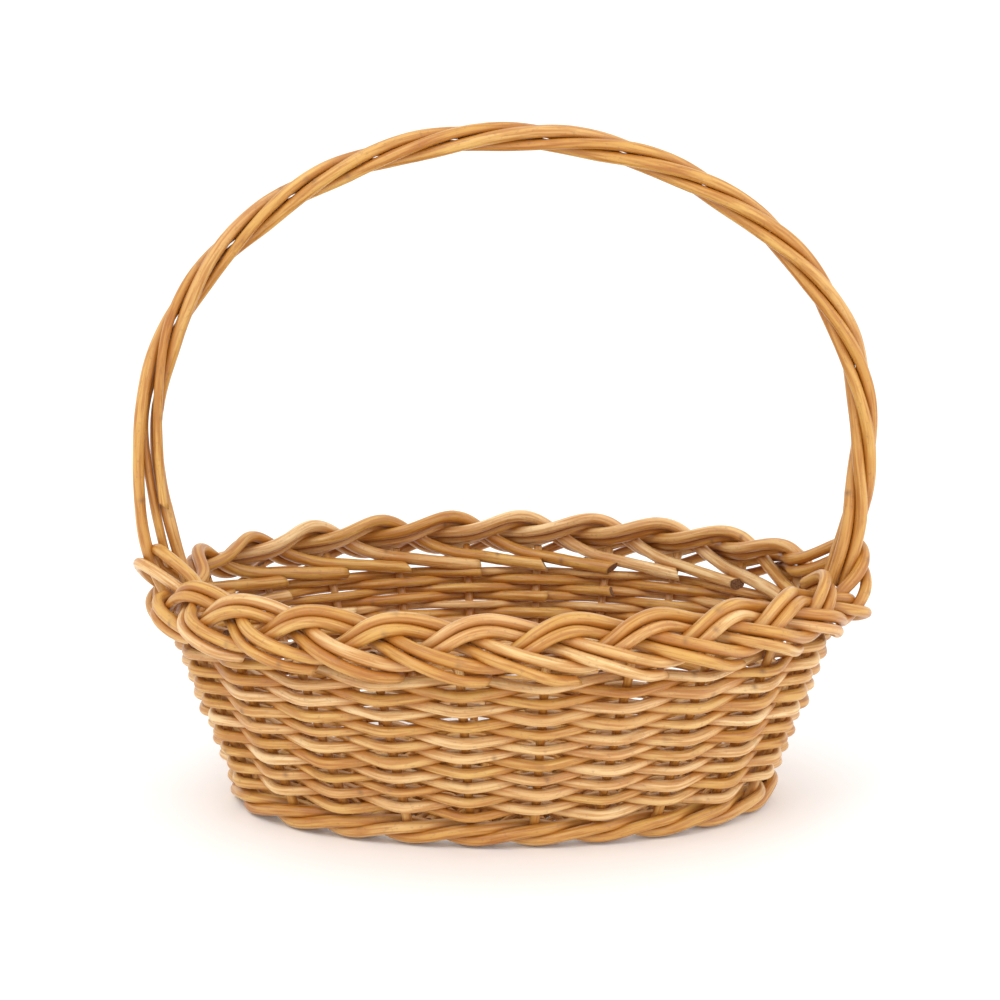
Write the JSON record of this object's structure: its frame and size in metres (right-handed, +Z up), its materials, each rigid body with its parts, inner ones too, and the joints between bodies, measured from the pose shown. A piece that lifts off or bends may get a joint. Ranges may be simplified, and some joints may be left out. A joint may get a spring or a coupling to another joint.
{
  "type": "woven market basket",
  "caption": "Oval open basket of varnished willow rods: stake-and-strand wall, plaited border and a fixed roped hoop handle.",
  "frame": {"origin": "on the floor, under the middle of the basket's base", "axes": "+Z up, +X along the basket's length and across the handle's hoop, the front towards -Y"},
  "size_m": [0.4142, 0.2886, 0.3789],
  "materials": {
    "stake_willow": "clear varnished peeled willow, satin",
    "weave_willow": "clear varnished peeled willow, satin",
    "border_willow": "clear varnished peeled willow, satin",
    "handle_willow": "clear varnished peeled willow, satin",
    "base_willow": "clear varnished peeled willow, satin"
  },
  "bodies": {
    "root": {"base_cross_stick_pair_1": "base_willow", "base_cross_stick_pair_2": "base_willow", "base_cross_stick_pair_3": "base_willow", "base_cross_stick_pair_4": "base_willow", "base_long_stick_1": "base_willow", "base_long_stick_2": "base_willow", "base_long_stick_3": "base_willow", "base_weaver_1": "base_willow", "base_weaver_2": "base_willow", "base_weaver_3": "base_willow", "base_weaver_4": "base_willow", "base_weaver_5": "base_willow", "base_weaver_6": "base_willow", "border_rod_pair_01": "border_willow", "border_rod_pair_02": "border_willow", "border_rod_pair_03": "border_willow", "border_rod_pair_04": "border_willow", "border_rod_pair_05": "border_willow", "border_rod_pair_06": "border_willow", "border_rod_pair_07": "border_willow", "border_rod_pair_08": "border_willow", "border_rod_pair_09": "border_willow", "border_rod_pair_10": "border_willow", "border_rod_pair_11": "border_willow", "bottom_wale_rod_1": "weave_willow", "bottom_wale_rod_2": "weave_willow", "bottom_wale_rod_3": "weave_willow", "handle_rod_1": "handle_willow", "handle_rod_2": "handle_willow", "handle_rod_3": "handle_willow", "handle_rod_4": "handle_willow", "stake_pair_01": "stake_willow", "stake_pair_02": "stake_willow", "stake_pair_03": "stake_willow", "stake_pair_04": "stake_willow", "stake_pair_05": "stake_willow", "stake_pair_06": "stake_willow", "stake_pair_07": "stake_willow", "stake_pair_08": "stake_willow", "stake_pair_09": "stake_willow", "stake_pair_10": "stake_willow", "stake_pair_11": "stake_willow", "wall_row_01": "weave_willow", "wall_row_02": "weave_willow", "wall_row_03": "weave_willow", "wall_row_04": "weave_willow", "wall_row_05": "weave_willow", "wall_row_06": "weave_willow", "wall_row_07": "weave_willow", "wall_row_08": "weave_willow", "wall_row_09": "weave_willow", "wall_row_10": "weave_willow", "wall_row_11": "weave_willow", "wall_row_12": "weave_willow", "wall_row_13": "weave_willow", "wall_row_14": "weave_willow", "wall_row_15": "weave_willow", "wall_row_16": "weave_willow", "wall_row_17": "weave_willow", "wall_row_18": "weave_willow"}
  },
  "joints": []
}
